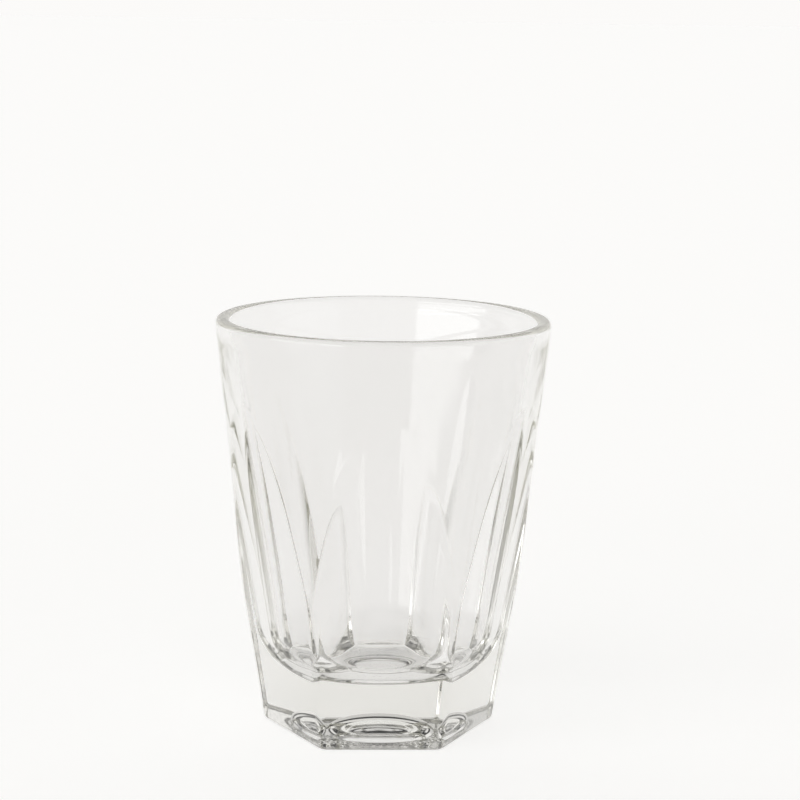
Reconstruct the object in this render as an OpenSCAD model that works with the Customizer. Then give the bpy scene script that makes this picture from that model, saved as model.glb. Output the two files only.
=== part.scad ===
// Latte glass: one piece of thick pressed glass, round at the rim and six-sided at the foot.
// It stands on the table at z = 0, with the axis of the round wall along +Z and a flat facing -Y.

/* [Body] */
// Height from the table to the top of the rim
height = 111; // [96:1:135]
// Outside diameter of the rim
rim_d = 89; // [74:0.5:107]
// Diameter that the round wall would have at the table
taper_d = 67; // [60:0.5:74]
// Thickness of the wall at the rim
rim_wall = 3.8; // [2.4:0.1:5]

/* [Flats] */
// Number of flats round the body
flat_count = 6; // [5:1:8]
// Distance across two opposite flats at the table
foot_across = 54.7; // [45.5:0.1:66]
// Height at which each flat runs out into the round wall
flat_top = 91; // [70:1:105]
// Depth of the shallow hollow along each flat, halfway up
flat_hollow = 0.8; // [0.3:0.1:1.2]

/* [Bottom] */
// Height of the inside floor above the table
floor_height = 17; // [13:0.5:22]
// Radius of the rounding between the inside floor and the wall
floor_round = 11.5; // [5:0.5:14]
// Thickness of the wall behind the flats, where the rounding starts
low_wall = 3.3; // [2.4:0.1:6]
// Diameter of the hollow under the foot
recess_d = 30; // [20:0.5:40]
// Depth of the hollow under the foot
recess_depth = 5.8; // [2:0.1:7]
// Shape of the hollow, from 0.3 for a steep edge and a flat top to 1 for a shallow dish
recess_curve = 0.4; // [0.3:0.05:1]
// Width of the bevel round the foot
foot_bevel = 1.2; // [0.4:0.1:2]

/* [Hidden] */

glass_tint = [0.86, 0.89, 0.86, 0.45];
bevel_angle = 45;
round_sides = 180;
flat_steps = 6;
recess_steps = 18;

// Round wall and its rim
rim_r = rim_d / 2;
taper_r = taper_d / 2;
bead_r = rim_wall / 2;
bead_z = height - bead_r;
function wall_r(z) = taper_r + (rim_r - taper_r) * z / bead_z;

// Each flat is an arc in side view: a chord from the foot to the round wall, hollowed a little
flat_foot_r = foot_across / 2;
flat_rise = wall_r(flat_top) - flat_foot_r;
flat_length = norm([flat_rise, flat_top]);
hollow_r = (flat_length * flat_length / 4 + flat_hollow * flat_hollow) / (2 * flat_hollow);
hollow_reach = (hollow_r - flat_hollow) / flat_length;
hollow_x = flat_foot_r + flat_rise / 2 + hollow_reach * flat_top;
hollow_z = flat_top / 2 - hollow_reach * flat_rise;
flat_step = flat_top / flat_steps;
function flat_r(z) = hollow_x - sqrt(hollow_r * hollow_r - (z - hollow_z) * (z - hollow_z));

// Inside: a straight wall that rounds into a flat floor
round_z = floor_height + floor_round;
inside_low_r = min(flat_r(round_z), wall_r(round_z)) - low_wall;
inside_rim_r = rim_r - rim_wall;
inside_lean = atan2(inside_rim_r - inside_low_r, bead_z - round_z);
round_x = inside_low_r - floor_round / cos(inside_lean);
tangent_x = round_x + floor_round * cos(inside_lean);
tangent_z = round_z - floor_round * sin(inside_lean);

// Hollow under the foot: a dome with a steep edge, from its middle at 0 degrees to its edge at 90
recess_r = recess_d / 2;
recess_step = 90 / recess_steps;
function recess_point(a) = [recess_r * sin(a), recess_depth * pow(cos(a), 2 * recess_curve)];

module inside_outline() {
    polygon([
        [0, floor_height],
        [round_x, floor_height],
        [tangent_x, tangent_z],
        [inside_rim_r, bead_z],
        [inside_rim_r, height],
        [0, height]
    ]);
    translate([round_x, round_z])
        circle(r = floor_round, $fn = round_sides);
}

module wall_outline() {
    polygon([[0, 0], [taper_r, 0], [rim_r, bead_z], [0, bead_z]]);
    translate([rim_r - bead_r, bead_z])
        circle(r = bead_r, $fn = round_sides);
}

module recess_outline() {
    polygon([
        [0, -recess_depth],
        for (step = [0 : recess_steps])
            recess_point(step * recess_step),
        [recess_r, -recess_depth]
    ]);
}

module round_glass() {
    rotate_extrude($fn = round_sides)
        difference() {
            wall_outline();
            inside_outline();
            recess_outline();
        }
}

module flat_cutter() {
    rotate([90, 0, 0])
        linear_extrude(height = rim_d, center = true)
            polygon([
                for (step = [-1 : flat_steps + 1])
                    [flat_r(step * flat_step), step * flat_step],
                [rim_d, flat_top + flat_step],
                [rim_d, -flat_step]
            ]);
}

module bevel_cutter() {
    translate([flat_foot_r - foot_bevel, 0, 0])
        rotate([0, bevel_angle, 0])
            translate([0, -rim_r, -rim_r])
                cube([rim_d, rim_d, rim_d]);
}

module faceted_glass() {
    difference() {
        round_glass();
        for (side = [0 : flat_count - 1])
            rotate([0, 0, side * 360 / flat_count - 90])
                flat_cutter();
    }
}

module tumbler() {
    color(glass_tint)
        difference() {
            faceted_glass();
            for (side = [0 : flat_count - 1])
                rotate([0, 0, side * 360 / flat_count - 90])
                    bevel_cutter();
        }
}

tumbler();
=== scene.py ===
"""Looks of the latte glass, a heavy pressed tumbler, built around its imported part."""
import math

import bpy
import numpy as np
from mathutils import Matrix, Vector


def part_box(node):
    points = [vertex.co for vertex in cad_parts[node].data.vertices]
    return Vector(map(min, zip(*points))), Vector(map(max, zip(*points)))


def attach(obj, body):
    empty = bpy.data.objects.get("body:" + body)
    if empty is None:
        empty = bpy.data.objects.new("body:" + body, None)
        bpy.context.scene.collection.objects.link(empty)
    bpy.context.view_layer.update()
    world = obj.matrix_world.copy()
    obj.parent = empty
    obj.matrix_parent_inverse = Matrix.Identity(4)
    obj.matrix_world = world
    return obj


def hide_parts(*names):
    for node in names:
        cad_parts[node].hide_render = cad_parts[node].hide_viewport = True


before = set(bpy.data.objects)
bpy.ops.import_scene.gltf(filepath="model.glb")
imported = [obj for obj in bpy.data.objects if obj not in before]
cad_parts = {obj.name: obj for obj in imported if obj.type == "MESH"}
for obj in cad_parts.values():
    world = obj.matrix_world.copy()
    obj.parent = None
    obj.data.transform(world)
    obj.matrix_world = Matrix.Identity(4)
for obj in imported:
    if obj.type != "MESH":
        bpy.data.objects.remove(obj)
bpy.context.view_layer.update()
scene = bpy.context.scene

# Tumbler: one gob of clear soda glass, pressed between a six-sided mould and a round plunger, so the
# outside has flats and the inside is smooth and round. The mouth and the edges of the flats are then
# softened in the flame, and the foot is left thick, with a hollow under it that keeps it from rocking.
MM = 0.001
low_corner, high_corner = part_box("tumbler")
# Lengths of the glass are in millimetres, as in the part
height = (high_corner.z - low_corner.z) / MM
rim_r = (high_corner.x - low_corner.x) / 2 / MM
rim_wall = 3.8
taper_r = 33.5
flat_count = 6
flat_foot_r = 27.35
flat_top = 91.0
flat_hollow = 0.8
floor_height = 17.0
floor_round = 11.5
floor_dish = 0.25
low_wall = 3.3
recess_r = 15.0
recess_depth = 5.8
recess_curve = 0.4
recess_lip = 0.6
rib_count, rib_depth, rib_width = 60, 0.25, 2.4
foot_round = 1.2
# Flame-softened edges: the corners between flats, and the flats' own edges, which fade out upwards
corner_softness = 3.7
flat_edge_softness, flat_top_softness = 6.0, 16.0
fade_start, fade_end = 55.0, 85.0
bead_squareness = 3.0

bead_r = rim_wall / 2
bead_z = height - bead_r
half_side = math.pi / flat_count


def wall_r(z):
    return taper_r + (rim_r - taper_r) * z / bead_z


flat_rise = wall_r(flat_top) - flat_foot_r
flat_length = math.hypot(flat_rise, flat_top)
hollow_r = (flat_length ** 2 / 4 + flat_hollow ** 2) / (2 * flat_hollow)
hollow_reach = (hollow_r - flat_hollow) / flat_length
hollow_x = flat_foot_r + flat_rise / 2 + hollow_reach * flat_top
hollow_z = flat_top / 2 - hollow_reach * flat_rise


def flat_r(z):
    return hollow_x - math.sqrt(hollow_r ** 2 - (z - hollow_z) ** 2)


def soft_min(a, b, width):
    near = np.clip(1 - np.abs(a - b) / width, 0, 1)
    return np.minimum(a, b) - near ** 2 * width / 4


least_width = 1e-6


def pressed_outline(angle, z):
    """Radius of the outside at an angle from the middle of a flat: flats, soft corners, round wall."""
    flat, round_wall = flat_r(z), wall_r(z)
    corner_width = corner_softness * (2 * half_side) ** 2 / 2
    six_sided = soft_min(flat / np.cos(angle), flat / np.cos(2 * half_side - angle), corner_width)
    meeting = math.acos(min(1.0, flat / round_wall))
    fade = np.clip((z - fade_start) / (fade_end - fade_start), 0, 1)
    softness = flat_edge_softness + (flat_top_softness - flat_edge_softness) * fade ** 2 * (3 - 2 * fade)
    edge_width = max(least_width, softness * meeting ** 2 / 2)
    return soft_min(six_sided, np.full_like(angle, round_wall), edge_width)


half_points, fine_points = 30, 360
fine_angles = np.linspace(0, half_side, fine_points + 1)
even_angles = np.linspace(0, half_side, half_points + 1)
turning_share = 0.62


def gathered_angles(z):
    """Angles across half a flat, closer together where the outline turns."""
    radius = pressed_outline(fine_angles, z)
    dx, dy = np.diff(radius * np.cos(fine_angles)), np.diff(radius * np.sin(fine_angles))
    length = np.hypot(dx, dy)
    turn = np.abs(np.gradient(np.unwrap(np.arctan2(dy, dx))))
    share = (1 - turning_share) * length / length.sum() + turning_share * turn / turn.sum()
    reach = np.concatenate([[0], np.cumsum(share)])
    return np.interp(np.linspace(0, reach[-1], half_points + 1), reach, fine_angles)


def whole_turn(half_angles, half_radii, z):
    """A closed ring of points from the angles and radii across half a flat."""
    across = np.concatenate([-half_angles[:0:-1], half_angles[:-1]])
    radii = np.concatenate([half_radii[:0:-1], half_radii[:-1]])
    middles = np.arange(flat_count) * 2 * half_side - math.pi / 2
    angles = (middles[:, None] + across[None, :]).ravel()
    radii = np.tile(radii, flat_count)
    return np.stack([radii * np.cos(angles), radii * np.sin(angles), np.full_like(radii, z)], 1)


def round_ring(radius, z):
    return whole_turn(even_angles, np.full(half_points + 1, radius), z)


def pressed_ring(z, inset=0.0):
    angles = gathered_angles(z)
    return whole_turn(angles, pressed_outline(angles, z) - inset, z)


def steps(start, end, count):
    """Even steps from start to end, without the start itself."""
    return np.linspace(start, end, count + 1)[1:]


quarter_turn = math.pi / 2
recess_rings, lip_rings, rib_rings, stand_rings, edge_rings = 29, 6, 6, 7, 8
outside_rings, bead_rings, inside_rings, round_rings, floor_rings = 125, 25, 23, 29, 12
rings = []
# Hollow under the foot, from its middle out to its rounded lip
recess_end = math.acos((recess_lip / recess_depth) ** (0.5 / recess_curve))
for a in steps(0, recess_end, recess_rings):
    rings.append(round_ring(recess_r * math.sin(a), recess_depth * math.cos(a) ** (2 * recess_curve)))
lip_x = recess_r * math.sin(recess_end) + recess_lip
for a in steps(0, quarter_turn, lip_rings):
    rings.append(round_ring(lip_x - recess_lip * math.cos(a), recess_lip * (1 - math.sin(a))))
# Ring that the glass stands on, finely ribbed next to the hollow, and the rounded edge of the foot
for s in steps(0, 1, rib_rings):
    ring = round_ring(lip_x + rib_width * s, 0.0)
    groove = 0.5 - 0.5 * np.cos(rib_count * np.arctan2(ring[:, 1], ring[:, 0]))
    ring[:, 2] = rib_depth * math.sin(math.pi * s) * groove
    rings.append(ring)
ribs_end = lip_x + rib_width
foot_angles = gathered_angles(0.0)
foot_edge = pressed_outline(foot_angles, 0.0) - foot_round
for s in steps(0, 1, stand_rings):
    angles = even_angles + (foot_angles - even_angles) * s
    rings.append(whole_turn(angles, ribs_end + (foot_edge - ribs_end) * s, 0.0))
for a in steps(0, quarter_turn, edge_rings):
    rings.append(pressed_ring(foot_round * (1 - math.cos(a)), foot_round * (1 - math.sin(a))))
# Outside wall, up to the bead of the rim
outside_lean = math.atan((rim_r - taper_r) / bead_z)
for z in steps(foot_round, bead_z - bead_r * math.sin(outside_lean), outside_rings):
    rings.append(pressed_ring(z))
# Bead of the rim, then the straight inside wall that rounds into a nearly flat floor
round_z = floor_height + floor_round
inside_low_r = min(flat_r(round_z), wall_r(round_z)) - low_wall
inside_rim_r = rim_r - rim_wall
inside_lean = math.atan2(inside_rim_r - inside_low_r, bead_z - round_z)
round_x = inside_low_r - floor_round / math.cos(inside_lean)
bead_x = rim_r - bead_r
for a in steps(-outside_lean, math.pi + inside_lean, bead_rings):
    across, above = (math.copysign(abs(v) ** (2 / bead_squareness), v) for v in (math.cos(a), math.sin(a)))
    rings.append(round_ring(bead_x + bead_r * across, bead_z + bead_r * above))
wall_top, wall_end = rings[-1][0][2], round_z - floor_round * math.sin(inside_lean)
for z in steps(wall_top, wall_end, inside_rings):
    rings.append(round_ring(inside_low_r + math.tan(inside_lean) * (z - round_z), z))
for a in steps(inside_lean, quarter_turn, round_rings):
    rings.append(round_ring(round_x + floor_round * math.cos(a), round_z - floor_round * math.sin(a)))
for s in steps(1, 0, floor_rings)[:-1]:
    rings.append(round_ring(round_x * s, floor_height - floor_dish * (1 - s * s)))

ring_size = len(rings[0])
recess_middle = np.array([[0, 0, recess_depth]])
floor_middle = np.array([[0, 0, floor_height - floor_dish]])
points = np.concatenate([recess_middle] + rings + [floor_middle]) * MM
here = np.arange(ring_size)
after = (here + 1) % ring_size
faces = [(0, 1 + int(b), 1 + int(a)) for a, b in zip(here, after)]
for ring in range(len(rings) - 1):
    inner, outer = 1 + ring * ring_size, 1 + (ring + 1) * ring_size
    faces += np.stack([inner + here, inner + after, outer + after, outer + here], 1).tolist()
last = 1 + (len(rings) - 1) * ring_size
faces += [(last + int(a), last + int(b), len(points) - 1) for a, b in zip(here, after)]
tumbler_mesh = bpy.data.meshes.new("glass_tumbler")
tumbler_mesh.from_pydata(points.tolist(), [], faces)
tumbler_mesh.validate()
tumbler_mesh.shade_smooth()
tumbler = bpy.data.objects.new("glass_tumbler", tumbler_mesh)
scene.collection.objects.link(tumbler)


class Field:
    """A value that changes over a surface, held as a node socket, so that it can be used in sums."""

    def __init__(self, tree, socket=None):
        self.tree, self.socket = tree, socket

    def node(self, kind, settings=None, inputs=None, output=0):
        made = self.tree.nodes.new(kind)
        for name, value in (settings or {}).items():
            setattr(made, name, value)
        for name, value in (inputs or {}).items():
            if isinstance(value, Field):
                self.tree.links.new(value.socket, made.inputs[name])
            else:
                made.inputs[name].default_value = value
        return Field(self.tree, made.outputs[output])

    def maths(self, operation, a, b):
        return self.node("ShaderNodeMath", {"operation": operation}, {0: a, 1: b})

    def noise(self, scale, detail):
        return self.node("ShaderNodeTexNoise", {}, {"Vector": self, "Scale": scale, "Detail": detail})

    def smooth_step(self, start, end):
        return self.node("ShaderNodeMapRange", {"interpolation_type": "SMOOTHSTEP"},
                         {"Value": self, "From Min": start, "From Max": end})

    def __add__(self, other):
        return self.maths("ADD", self, other)

    def __sub__(self, other):
        return self.maths("SUBTRACT", self, other)

    def __rsub__(self, other):
        return self.maths("SUBTRACT", other, self)

    def __mul__(self, other):
        return self.maths("MULTIPLY", self, other)

    __radd__, __rmul__ = __add__, __mul__


# Clear glass: polished, with a slow ripple from the mould, a thin film from washing and a scuffed stand
clear_glass = bpy.data.materials.new("clear_pressed_glass")
clear_glass.use_nodes = True
glass_tree = clear_glass.node_tree
glass_shader = glass_tree.nodes["Principled BSDF"]
glass_shader.inputs["Base Color"].default_value = (0.932, 0.928, 0.925, 1)
glass_shader.inputs["IOR"].default_value = 1.52
glass_shader.inputs["Transmission Weight"].default_value = 1.0

glass = Field(glass_tree)
place = glass.node("ShaderNodeTexCoord", output="Object")
height_up = glass.node("ShaderNodeSeparateXYZ", {}, {"Vector": place}, output="Z")
skin_share, relief_strength, relief_depth = 0.02, 0.04, 0.4 * MM
press_ripple = place.noise(scale=70.0, detail=1.0)
flame_skin = place.noise(scale=420.0, detail=2.0)
relief = press_ripple + flame_skin * skin_share
bump = glass.node("ShaderNodeBump", {},
                  {"Strength": relief_strength, "Distance": relief_depth, "Height": relief}, output="Normal")
glass_tree.links.new(bump.socket, glass_shader.inputs["Normal"])
polish, film_haze, scuff_haze = 0.004, 0.012, 0.25
scuffs_fade, scuffs_end = 0.1 * MM, 0.6 * MM
wash_film = place.noise(scale=55.0, detail=4.0).smooth_step(0.5, 0.8)
scuffs = place.noise(scale=900.0, detail=3.0).smooth_step(0.45, 0.65)
standing = 1 - height_up.smooth_step(scuffs_fade, scuffs_end)
roughness = polish + wash_film * film_haze + standing * scuffs * scuff_haze
glass_tree.links.new(roughness.socket, glass_shader.inputs["Roughness"])
iron_tint = glass.node("ShaderNodeVolumeAbsorption", {}, {"Color": (0.6, 0.59, 0.48, 1), "Density": 5.0})
glass_tree.links.new(iron_tint.socket, glass_tree.nodes["Material Output"].inputs["Volume"])
tumbler_mesh.materials.append(clear_glass)
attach(tumbler, "root")
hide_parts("tumbler")

# Floor: a plain pale table top that glows softly, as a light table does, so no hard shadow falls on it.
# The glass stands free on it, with a hair of air under the foot that makes the foot reflect.
floor_gap = 0.1 * MM
floor_reach = 30.0
floor_corners = ((-1, -1), (1, -1), (1, 1), (-1, 1))
floor_mesh = bpy.data.meshes.new("pale_floor")
floor_mesh.from_pydata([(x * floor_reach, y * floor_reach, -floor_gap) for x, y in floor_corners],
                       [], [(0, 1, 2, 3)])
floor = bpy.data.objects.new("pale_floor", floor_mesh)
scene.collection.objects.link(floor)
pale_floor = bpy.data.materials.new("pale_floor")
pale_floor.use_nodes = True
floor_shader = pale_floor.node_tree.nodes["Principled BSDF"]
floor_shader.inputs["Base Color"].default_value = (0.85, 0.85, 0.85, 1)
floor_shader.inputs["Emission Color"].default_value = (1.0, 0.995, 0.98, 1)
floor_shader.inputs["Emission Strength"].default_value = 0.67
floor_shader.inputs["Roughness"].default_value = 0.9
floor_shader.inputs["Specular IOR Level"].default_value = 0.0
floor_mesh.materials.append(pale_floor)

# Light: a soft studio. A pale low backdrop runs all round, dimmer at the left, with a low soft panel on
# each side of the camera. Above a dark gap hang two pale panels, behind the glass and in front of it, and
# straight above is dark. At the horizon the backdrop takes the floor's tone, so that no line shows.
studio = bpy.data.worlds.new("soft_studio")
scene.world = studio
studio.use_nodes = True
studio_tree = studio.node_tree
backdrop = studio_tree.nodes["Background"]
sky = Field(studio_tree)
toward = sky.node("ShaderNodeTexCoord", output="Generated")
toward_right = sky.node("ShaderNodeSeparateXYZ", {}, {"Vector": toward}, output="X")
toward_back = sky.node("ShaderNodeSeparateXYZ", {}, {"Vector": toward}, output="Y")
toward_top = sky.node("ShaderNodeSeparateXYZ", {}, {"Vector": toward}, output="Z")
degree = 180 / math.pi
# Bearings in degrees from straight behind the glass, to the right, and climbs from the horizon up
bearing = sky.maths("ARCTAN2", toward_right, toward_back) * degree
climb = sky.maths("ARCSINE", toward_top, 0.0) * degree
soft_edge, crisp_edge = 8, 2
left_start, left_end, right_start, right_end = -97, -52, 34, 88
left_panel_start, right_panel_end = -152, 147
high_back_start, high_back_end, high_front_start, high_front_end = -75, 45, 158, -100
horizon, backdrop_top, gap_top = (0.3, 2.2), (26, 29), (36, 39)
left_panel_top, right_panel_top, high_back_top, high_front_top = (11, 15), (9, 13), (52, 57), (70, 75)


def between(field, start, end, soft):
    return field.smooth_step(start - soft, start + soft) * (1 - field.smooth_step(end - soft, end + soft))


backdrop_light, left_light, right_light, front_light = 0.68, 0.35, 0.95, 0.95
high_front_light, high_back_light = 0.5, 0.85
left_panel_light, right_panel_light, horizon_light = 3.2, 1.35, 0.97
to_left = between(bearing, left_start, left_end, soft_edge)
to_right = between(bearing, right_start, right_end, soft_edge)
in_front = 1 - between(bearing, left_start, right_end, soft_edge)
around = (backdrop_light + to_left * (left_light - backdrop_light) + to_right * (right_light - backdrop_light)
          + in_front * (front_light - backdrop_light))
over_backdrop = climb.smooth_step(*backdrop_top)
over_gap = climb.smooth_step(*gap_top)
high_front = ((1 - between(bearing, high_front_end, high_front_start, soft_edge)) * over_gap
              * (1 - climb.smooth_step(*high_front_top)))
high_back = (between(bearing, high_back_start, high_back_end, soft_edge) * over_gap
             * (1 - climb.smooth_step(*high_back_top)))
overhead = high_front * high_front_light + high_back * high_back_light
left_panel = (between(bearing, left_panel_start, left_start, crisp_edge)
              * (1 - climb.smooth_step(*left_panel_top)))
right_panel = (between(bearing, right_end, right_panel_end, crisp_edge)
               * (1 - climb.smooth_step(*right_panel_top)))
panels = left_panel + right_panel
plain = around * (1 - over_backdrop) + overhead * over_backdrop
lit = plain * (1 - panels) + left_panel * left_panel_light + right_panel * right_panel_light
over_horizon = climb.smooth_step(*horizon)
strength = horizon_light * (1 - over_horizon) + lit * over_horizon
studio_tree.links.new(strength.socket, backdrop.inputs["Strength"])
warm_backdrop, cool_panels = (1.0, 0.99, 0.975, 1), (0.985, 1.0, 1.01, 1)
tone = sky.node("ShaderNodeMix", {"data_type": "RGBA"},
                {"Factor": panels, 6: warm_backdrop, 7: cool_panels}, output=2)
studio_tree.links.new(tone.socket, backdrop.inputs["Color"])

# Camera: at the photograph's viewing angle, a little above the rim, looking slightly down at the glass
# from about half a metre away.
focal_px, frame_px, sensor_mm = 2175, 800, 36
distance, eye_height = 0.572, 0.192
pitch, yaw, roll, turned = (math.radians(v) for v in (10.24, 0.47, 0.85, 1.9))
forward = Vector((math.sin(yaw) * math.cos(pitch), math.cos(yaw) * math.cos(pitch), -math.sin(pitch)))
level = Vector((math.cos(yaw), -math.sin(yaw), 0))
upward = level.cross(forward)
right = level * math.cos(roll) + upward * math.sin(roll)
up = upward * math.cos(roll) - level * math.sin(roll)
view = Matrix((right, up, -forward)).transposed().to_4x4()
view.translation = (0, -distance, eye_height)
camera_data = bpy.data.cameras.new("camera")
camera_data.sensor_width = sensor_mm
camera_data.lens = focal_px * sensor_mm / frame_px
camera = bpy.data.objects.new("camera", camera_data)
scene.collection.objects.link(camera)
camera.matrix_world = Matrix.Rotation(-turned, 4, "Z") @ view
scene.camera = camera
scene.view_settings.view_transform = "Standard"
# Light bounces many times inside thick glass before it leaves it
glass_bounces = 128
scene.cycles.max_bounces = glass_bounces
scene.cycles.transmission_bounces = glass_bounces
scene.cycles.glossy_bounces = glass_bounces
scene.cycles.caustics_refractive = True
